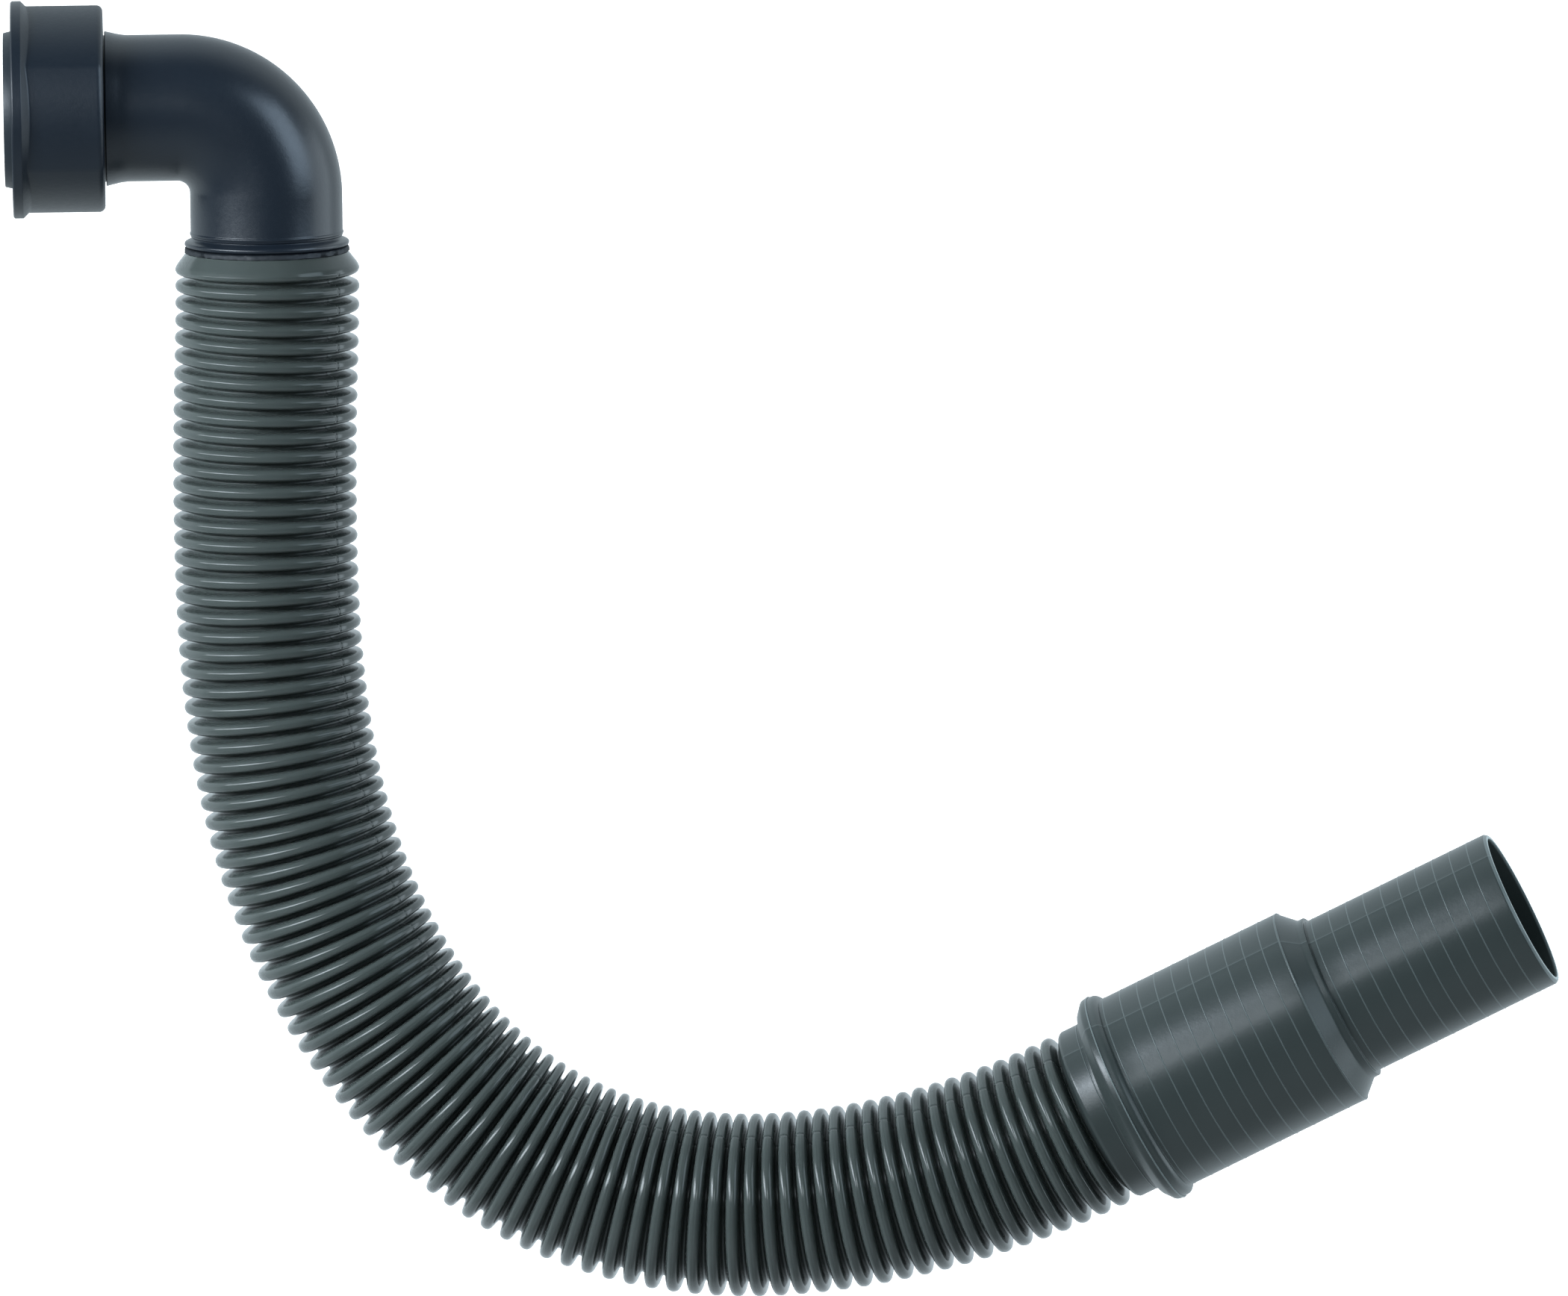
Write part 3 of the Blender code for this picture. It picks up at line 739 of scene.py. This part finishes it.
class DRAIN_OT_elbow(bpy.types.Operator):
    """Builds the moulded elbow from its tip to the nipple in the hose"""
    bl_idname = "drain.elbow"
    bl_label = "Elbow"

    def execute(self, context):
        s = sizes("drain_elbow")
        neck, arm, bore = s.neck_radius, s.arm_radius, s.bore_radius
        gap = 0.3 * MM
        stop, face = sizes("drain_nut").nut_length + gap, gap
        tip, collar = face - 1.5 * MM, face + s.collar_length
        bend_start = s.arm_place - arm - s.inner_round
        inlet = rounded([
            (tip, bore + 1.2 * MM, 0),
            (tip, s.seat_radius, 0.3 * MM),
            (face, s.seat_radius, 0),
            (face, s.collar_radius, 0.2 * MM),
            (collar, s.collar_radius, 0.3 * MM),
            (collar, neck, 0.5 * MM),
            (stop, neck, 0),
            (stop, neck + s.ramp_height, 0.35 * MM),
            (stop + s.ramp_length, neck, 1.6 * MM),
            (bend_start, neck, 0),
        ])
        rows = along_inlet(inlet)

        pivot = np.array((bend_start, 0, -(neck + s.inner_round)))

        def bend(share, radius=None):
            """A station of the bend. Its outside grows from the neck's radius to the arm's."""
            outside = neck + (arm - neck) * share
            heading = share * pi / 2
            centre = pivot + (s.inner_round + outside) * np.array((sin(heading), 0, cos(heading)))
            return centre, heading, radius or outside

        shares = np.linspace(0, 1, 37)
        rows += [bend(share) for share in shares[1:]]

        # Down the arm: a fine raised line, the groove, the bead and the nipple.
        groove, bead = s.drop, arm + s.bead_height
        line_radius = arm + 0.18 * MM
        top = groove + 0.7 * MM
        bottom = top + 2.2 * MM
        end = bottom + s.nipple_length
        outlet = rounded([
            (s.inner_round + neck + 0.4 * MM, arm, 0),
            (groove - 1.1 * MM, arm, 0.3 * MM),
            (groove - 0.9 * MM, line_radius, 0.15 * MM),
            (groove - 0.5 * MM, line_radius, 0.15 * MM),
            (groove - 0.3 * MM, arm, 0.15 * MM),
            (groove, arm, 0.1 * MM),
            (groove + 0.35 * MM, arm - 0.35 * MM, 0.15 * MM),
            (top, arm, 0.2 * MM),
            (top + 0.7 * MM, bead, 0.45 * MM),
            (top + 1.5 * MM, bead, 0.45 * MM),
            (bottom, arm + 0.3 * MM, 0.15 * MM),
            (bottom, s.nipple_radius, 0.2 * MM),
            (end - 1.2 * MM, s.nipple_radius, 0.3 * MM),
            (end, s.nipple_radius - 1.2 * MM, 0),
        ])
        rows += down_arm(outlet)

        # Back up through the bore.
        rows += down_arm([(end, bore), (end - 8 * MM, bore), (bottom, bore)])
        rows += [bend(share, bore) for share in shares[::-2]]
        rows += along_inlet([(stop, bore), (face + 4 * MM, bore), (tip, bore + 0.2 * MM)])
        skin = plastic("slate_elbow_plastic", sizes("drain_finish").elbow, 0.31, grain=0.00008, index=1.52)
        mesh = ring_mesh(rings_along(rows, round_turns(ELBOW_SIDES)), sharp=50)
        finish_piece(new_piece("elbow_moulding", mesh, skin), PIPE, "elbow", "elbow")
        return {"FINISHED"}


class DRAIN_OT_bond(bpy.types.Operator):
    """Builds the uneven ring of set adhesive between the elbow's bead and the hose's lip"""
    bl_idname = "drain.bond"
    bl_label = "Bond"

    def execute(self, context):
        s, hose, finish = sizes("drain_elbow"), sizes("drain_hose"), sizes("drain_finish")
        turns = round_turns(BOND_SIDES)
        top, lip = s.drop + 2.9 * MM, hose.lip_top
        low = lip + hose.lip_length - 0.3 * MM
        inner, in_lip = s.nipple_radius + 0.3 * MM, hose.lip_radius - hose.wall - 0.25 * MM
        out = hose.lip_radius - 0.2 * MM

        def uneven(seed, size):
            waves, detail = 9, 3
            return np.array([
                size * noise.fractal(Vector((waves * cos(t), waves * sin(t), seed)), 1.0, 2.0, detail)
                for t in turns
            ])

        # Round the ring's section: drop, radius, and how uneven it is in millimetres.
        loop = (
            (top + 0.02 * MM, inner, 0), (top - 0.12 * MM, out - 0.9 * MM, 0.05),
            (top - 0.15 * MM, out - 0.35 * MM, 0.25), (top + 0.2 * MM, out - 0.05 * MM, 0.35),
            (lip - 0.12 * MM, out - 0.1 * MM, 0.25), (lip - 0.05 * MM, in_lip, 0),
            (low, in_lip, 0), (low, inner, 0),
        )
        rows = []
        for k, (drop, radius, much) in enumerate(loop):
            drops = drop + uneven(k * 3.1, 0.35 * much * MM)
            radii = radius + uneven(k * 5.3 + 40, much * MM)
            rows.append(np.stack((s.arm_place + radii * np.cos(turns), radii * np.sin(turns), -drops), -1))
        glue = plastic("set_adhesive", finish.bond, 0.65, grain=0.0002, mottle=0.3, streak=0.15)
        piece = new_piece("bond_line", ring_mesh(np.array(rows), sharp=70), glue)
        finish_piece(piece, PIPE, "bond_ring", "bond_ring")
        return {"FINISHED"}


# Hose

class DRAIN_OT_bellows(bpy.types.Operator):
    """Builds the hose's lip and its ridges along the curved route"""
    bl_idname = "drain.bellows"
    bl_label = "Bellows"

    def execute(self, context):
        s = sizes("drain_hose")
        skin = plastic(
            "blown_hose_plastic", sizes("drain_finish").hose, 0.14,
            grain=0.00001, mottle=0.07, streak=0.02, seams=ridge_seams,
        )
        route = hose_route(s)
        path = bpy.data.meshes.new("hose_route")
        places, headings = zip(*route)
        path.from_pydata([tuple(place) for place in places], [(k, k + 1) for k in range(len(places) - 1)], [])
        path.attributes.new("heading", "FLOAT", "POINT").data.foreach_set("value", headings)
        tree = bellows_tree()
        shells = []
        for name, ridge, thickness in (("outer", OUTER_RIDGE, 0), ("inner", INNER_RIDGE, s.wall)):
            rings = len(ridge) - 1
            carrier = bpy.data.objects.new(name, path)
            context.scene.collection.objects.link(carrier)
            use_tree(carrier, tree, {
                "Ridges": s.ridges, "Rings": rings, "Sides": BELLOWS_SIDES, "Skip": rings // 2,
                "Crest radius": s.ridge_radius - thickness, "Root radius": s.root_radius - thickness,
                "Inside": name == "inner", "Material": skin,
            })
            shells.append(bake(carrier, name, skin))
        shells[1].data.flip_normals()

        # The lip joins the first crest of the outer wall to that of the inner one.
        start, seat, first = s.lip_top, s.lip_top + s.lip_length, s.first_ridge
        in_lip, in_root = s.lip_radius - s.wall, s.root_radius - s.wall
        lip = down_arm(rounded([
            (first, s.ridge_radius, 0),
            (first - 0.9 * MM, s.ridge_radius - 0.35 * MM, 0.5 * MM),
            (start + 0.3 * MM, s.lip_radius - 0.30 * MM, 0.2 * MM),
            (start, s.lip_radius - 0.45 * MM, 0.1 * MM),
            (start, in_lip, 0.1 * MM),
            (seat, in_lip, 0.3 * MM),
            (seat, in_root, 0.2 * MM),
            (first - 1.2 * MM, in_root, 0.2 * MM),
            (first, s.ridge_radius - s.wall, 0),
        ]))
        # A flat ring closes the far end.
        end, heading = route[-1]
        closing = [(end, heading, s.root_radius), (end, heading, in_root)]
        turns = round_turns(BELLOWS_SIDES)
        for name, stations in (("lip", lip), ("end", closing)):
            shells.append(new_piece(name, ring_mesh(rings_along(stations, turns), closed=False), skin))
        piece = weld("bellows", shells, skin)
        twist_mesh(piece.data)
        finish_piece(piece, PIPE, "bellows_hose", "bellows_hose")
        return {"FINISHED"}


def turns_with_lines(sides, line_turns):
    """Even turns round a piece with five more close to each line, and 1 on a line falling to 0 beside it."""
    beside = np.array((-0.9, -0.45, 0, 0.45, 0.9)) * radians(1)
    closest, half_width = radians(0.12), radians(0.6)
    extra = [turn % (2 * pi) + beside for turn in line_turns]
    turns = np.sort(np.concatenate([round_turns(sides)] + extra))
    turns = turns[np.concatenate(([True], np.diff(turns) > closest))]
    raised = np.zeros(turns.shape)
    for turn in line_turns:
        off = np.abs((turns - turn + pi) % (2 * pi) - pi)
        raised = np.maximum(raised, np.clip(1 - off / half_width, 0, 1))
    return turns, raised


class DRAIN_OT_cuff(bpy.types.Operator):
    """Builds the stepped cuff with its collar bead, mould lines and parting line"""
    bl_idname = "drain.cuff"
    bl_label = "Stepped cuff"

    def execute(self, context):
        s, hose = sizes("drain_cuff"), sizes("drain_hose")
        end, heading = hose_route(hose)[-1]
        way = np.array((cos(heading), 0, -sin(heading)))

        # Places along the cuff, from the last ridge's root.
        root, start = 0.05 * MM, hose.pitch / 3
        band = start + s.band_length
        groove = band + s.bead_groove
        bead = band + s.bead_length
        step = bead + s.cuff_length
        cone = step + s.cone_length
        ring = cone + s.ring_length
        tip = ring + s.spigot_length
        ring_radius, bore = s.spigot_radius + s.ring_height, s.spigot_radius - s.wall
        section = rounded([
            (root, hose.root_radius, 0),
            (start, s.band_radius - 0.5 * MM, 0.2 * MM),
            (start + 0.7 * MM, s.band_radius, 0.3 * MM),
            (band, s.band_radius, 0.5 * MM),
            (band + 0.2 * MM, s.bead_radius - 2.7 * MM, 0.4 * MM),
            (band + 2.3 * MM, s.bead_radius - 0.2 * MM, 0.5 * MM),
            (groove, s.bead_radius, 0.2 * MM),
            (groove + 0.1 * MM, s.bead_radius - 0.22 * MM, 0.1 * MM),
            (bead - 1.1 * MM, s.bead_radius - 0.30 * MM, 0.6 * MM),
            (bead - 0.2 * MM, s.bead_radius - 1.3 * MM, 0.3 * MM),
            (bead, s.cuff_radius, 0.2 * MM),
            (step, s.cuff_radius, 0.5 * MM),
            (cone, ring_radius, 0.4 * MM),
            (ring, ring_radius, 0.3 * MM),
            (ring, s.spigot_radius, 0.3 * MM),
            (tip - 0.8 * MM, s.spigot_radius, 0.2 * MM),
            (tip, s.spigot_radius - 0.55 * MM, 0.3 * MM),
            (tip, bore, 0.15 * MM),
            (tip - 0.8 * MM, bore, 0),
            (cone, bore, 1.0 * MM),
            (step, s.cuff_radius - s.wall, 1.0 * MM),
            (band + 3.3 * MM, s.cuff_radius - s.wall, 1.0 * MM),
            (band, s.band_radius - s.wall, 0.8 * MM),
            (root, hose.root_radius - hose.wall, 0),
        ])

        # The parting line stands proud on the outside only. It, the tip's rounding and the cut rim are drawn
        # paler than the rest, partly as wear and partly as a painted highlight.
        turns, raised = turns_with_lines(CUFF_SIDES, (s.parting, s.parting + pi))
        line_wear_and_highlight, rounding_wear_and_highlight, rim_wear_and_highlight = 0.12, 0.3, 1.0
        stations, wear_and_highlight = [], []
        furthest = 0
        for distance, radius in split_long(section, 6 * MM):
            furthest = max(furthest, distance)
            outside = distance >= furthest - 0.001 * MM and distance > start
            line = raised if outside else 0 * raised
            stations.append((end + distance * way, heading, radius + s.parting_height * line))
            cut = distance > tip - 0.65 * MM and radius > bore - 0.1 * MM
            edge_wear_and_highlight = rim_wear_and_highlight if radius < s.spigot_radius - 0.7 * MM else rounding_wear_and_highlight
            wear_and_highlight.append(np.maximum(line_wear_and_highlight * line, edge_wear_and_highlight if cut else 0))
        skin = plastic(
            "cuff_plastic", sizes("drain_finish").cuff, 0.30,
            grain=0.00007, mottle=0.05, streak=0.03, seams=wear_and_highlight_edges,
        )
        blank = new_piece("cuff_blank", ring_mesh(rings_along(stations, turns), sharp=50), skin)
        blank.data.attributes.new("wear_and_highlight", "FLOAT", "POINT").data.foreach_set("value", np.array(wear_and_highlight).ravel())

        # Mould lines: how many, place of the first, radius of the surface, and how pale, as wear and painted
        # highlight.
        tree = line_tree()
        for count, first, radius, ring_wear_and_highlight in (
            (11, bead + 0.9 * MM, s.cuff_radius, 0.18),
            (10, ring + 1.9 * MM, s.spigot_radius, 0.18),
            (1, band - 1.1 * MM, s.band_radius, 0.12),
            (1, groove, s.bead_radius, 0.35),
            (1, step - 0.1 * MM, s.cuff_radius - 0.05 * MM, 0.12),
        ):
            use_tree(blank, tree, {
                "Count": count, "Start": tuple(end + first * way), "Step": tuple(s.line_pitch * way),
                "Tilt": pi / 2 + heading, "Radius": radius - s.line_sunk,
                "Thickness": s.line_sunk + s.line_height, "Wear and highlight": ring_wear_and_highlight, "Material": skin,
            })
        piece = bake(blank, "stepped_cuff", skin)
        twist_mesh(piece.data)
        finish_piece(piece, PIPE, "bellows_hose", "bellows_hose")
        return {"FINISHED"}


# Studio

AIM = Vector((0.18448, -0.01643, -0.13192))

# Soft boxes: name, azimuth, elevation, distance, width, height, watts, tint, and what they light if not all.
SOFT_BOXES = (
    ("key_wide", -56, 20, 1.5, 2.2, 0.34, 15, (0.84, 0.93, 1.0), None),
    ("key_elbow", -56, 20, 1.5, 0.75, 0.30, 23, (0.80, 0.90, 1.0), "elbow"),
    ("key_bellows", -56, 20, 1.5, 0.75, 0.30, 33, (0.80, 0.90, 1.0), "bellows"),
    ("key_cuff", -56, 28, 1.5, 0.75, 0.30, 14, (0.80, 0.90, 1.0), "cuff"),
    ("side_elbow", 58, 26, 2.0, 1.1, 1.5, 26, (0.63, 0.81, 1.0), "elbow"),
    ("side_hose", 60, 22, 2.0, 1.1, 1.5, 10, (0.70, 0.88, 1.0), "hose"),
    ("wall", 94, 2, 2.2, 1.6, 1.8, 17, (0.78, 0.91, 1.0), None),
)
# The groups of each piece that isn't lit with the elbow.
LIT_WITH = {"bellows": ("hose", "bellows"), "stepped_cuff": ("hose", "cuff")}


def away(azimuth, elevation):
    """The direction from the part at an azimuth and an elevation in radians. Azimuth 0 is the front, -Y."""
    return Vector((sin(azimuth) * cos(elevation), -cos(azimuth) * cos(elevation), sin(elevation)))


def add_floor(drop, radius):
    """A round floor that only the camera sees, so that it throws no light on the part."""
    rim = [(radius * cos(turn), radius * sin(turn), -drop) for turn in round_turns(64)]
    mesh = bpy.data.meshes.new("floor")
    mesh.from_pydata(rim, [], [list(range(len(rim)))])
    paper = bpy.data.materials.new("pale_paper")
    paper.use_nodes = True
    shader = paper.node_tree.nodes["Principled BSDF"]
    shader.inputs["Base Color"].default_value = (*sizes("drain_finish").floor, 1)
    shader.inputs["Roughness"].default_value = 0.9
    shader.inputs["Specular IOR Level"].default_value = 0.1
    floor = new_piece("studio_floor", mesh, paper)
    floor.visible_glossy = floor.visible_diffuse = False
    return floor


def add_surround(scene):
    """White for the camera. What the part reflects is dim in front and pale behind and below."""
    world = scene.world or bpy.data.worlds.new("studio")
    scene.world = world
    world.use_nodes = True
    tree = world.node_tree
    tree.nodes.clear()
    dim, pale, low_pale, white = 0.07, 0.95, 0.55, 1.35
    seen = add_node(tree, "ShaderNodeLightPath").outputs["Is Camera Ray"]
    way = split_xyz(tree, add_node(tree, "ShaderNodeTexCoord").outputs["Generated"])
    behind = spread(tree, way[1], -0.18, 0.38, dim, pale)
    below = spread(tree, way[2], -0.25, -0.8, dim, low_pale)
    reflected = maths(tree, "MAXIMUM", behind, below)
    strength = maths(tree, "MAXIMUM", maths(tree, "MULTIPLY", seen, white), reflected)
    glow = add_node(tree, "ShaderNodeBackground", {"Color": (0.80, 0.93, 1.0, 1), "Strength": strength})
    add_node(tree, "ShaderNodeOutputWorld", {"Surface": glow.outputs[0]})


def add_lights(scene, floor):
    """The soft boxes, each for its own pieces, and the floor's own light."""
    groups = ("floor", "elbow", "hose", "bellows", "cuff")
    lit = {name: bpy.data.collections.new(f"lit_{name}") for name in groups}
    lit["floor"].objects.link(floor)
    for piece in scene.collection.objects:
        if piece.type == "MESH":
            for name in LIT_WITH.get(piece.name, ("elbow",)):
                lit[name].objects.link(piece)
    for name, azimuth, elevation, distance, wide, tall, power, tint, group in SOFT_BOXES:
        light = bpy.data.lights.new(name, "AREA")
        light.shape, light.size, light.size_y = "RECTANGLE", wide, tall
        light.energy, light.color = power, tint
        lamp = bpy.data.objects.new(name, light)
        back = away(radians(azimuth), radians(elevation))
        lamp.location = AIM + back * distance
        lamp.rotation_euler = back.to_track_quat("Z", "Y").to_euler()
        scene.collection.objects.link(lamp)
        if group:
            lamp.light_linking.receiver_collection = lit[group]
    sun = bpy.data.lights.new("floor_light", "SUN")
    sun.energy, sun.angle = 4.2, radians(30)
    lamp = bpy.data.objects.new("floor_light", sun)
    scene.collection.objects.link(lamp)
    lamp.light_linking.receiver_collection = lit["floor"]


def add_camera(scene, s):
    """The camera, aimed at the middle of the picture and rolled."""
    back = away(s.azimuth, s.elevation)
    level = Vector((cos(s.azimuth), sin(s.azimuth), 0))
    upright = back.cross(level)
    across = cos(s.roll) * level + sin(s.roll) * upright
    tall = cos(s.roll) * upright - sin(s.roll) * level
    place = AIM + back * s.distance
    view = bpy.data.cameras.new("camera")
    view.lens, view.sensor_width, view.sensor_fit = s.lens, 36.0, "HORIZONTAL"
    view.clip_start, view.clip_end = 0.05, 60
    camera = bpy.data.objects.new("camera", view)
    camera.matrix_world = Matrix.Translation(place) @ Matrix((across, tall, back)).transposed().to_4x4()
    scene.collection.objects.link(camera)
    scene.camera = camera


class DRAIN_OT_studio(bpy.types.Operator):
    """Sets up the pale floor, the soft lights and the camera"""
    bl_idname = "drain.studio"
    bl_label = "Studio"

    def execute(self, context):
        s, scene = sizes("drain_studio"), context.scene
        floor = add_floor(s.floor_drop, s.floor_radius)
        add_surround(scene)
        add_lights(scene, floor)
        add_camera(scene, s)
        scene.view_settings.view_transform = "Standard"
        scene.view_settings.look = "None"
        return {"FINISHED"}


OPERATORS = (
    DRAIN_OT_union_nut, DRAIN_OT_coned_seal, DRAIN_OT_elbow, DRAIN_OT_bond,
    DRAIN_OT_bellows, DRAIN_OT_cuff, DRAIN_OT_studio,
)


class DRAIN_PT_panel(bpy.types.Panel):
    """Lists the pieces and their sizes"""
    bl_idname = "DRAIN_PT_panel"
    bl_label = "Drain elbow"
    bl_space_type = "VIEW_3D"
    bl_region_type = "UI"
    bl_category = "Drain elbow"

    def draw(self, context):
        for name in SETTINGS:
            box = self.layout.box()
            group = getattr(context.scene, name)
            for key in group.__annotations__:
                box.prop(group, key)
        for made in OPERATORS:
            self.layout.operator(made.bl_idname)


def register():
    for made in (*SETTINGS.values(), *OPERATORS, DRAIN_PT_panel):
        bpy.utils.register_class(made)
    for name, group in SETTINGS.items():
        setattr(bpy.types.Scene, name, PointerProperty(type=group))


def unregister():
    for name in SETTINGS:
        delattr(bpy.types.Scene, name)
    for made in reversed((*SETTINGS.values(), *OPERATORS, DRAIN_PT_panel)):
        bpy.utils.unregister_class(made)


def main():
    register()
    for made in OPERATORS:
        group, name = made.bl_idname.split(".")
        getattr(getattr(bpy.ops, group), name)()


if __name__ == "__main__":
    main()
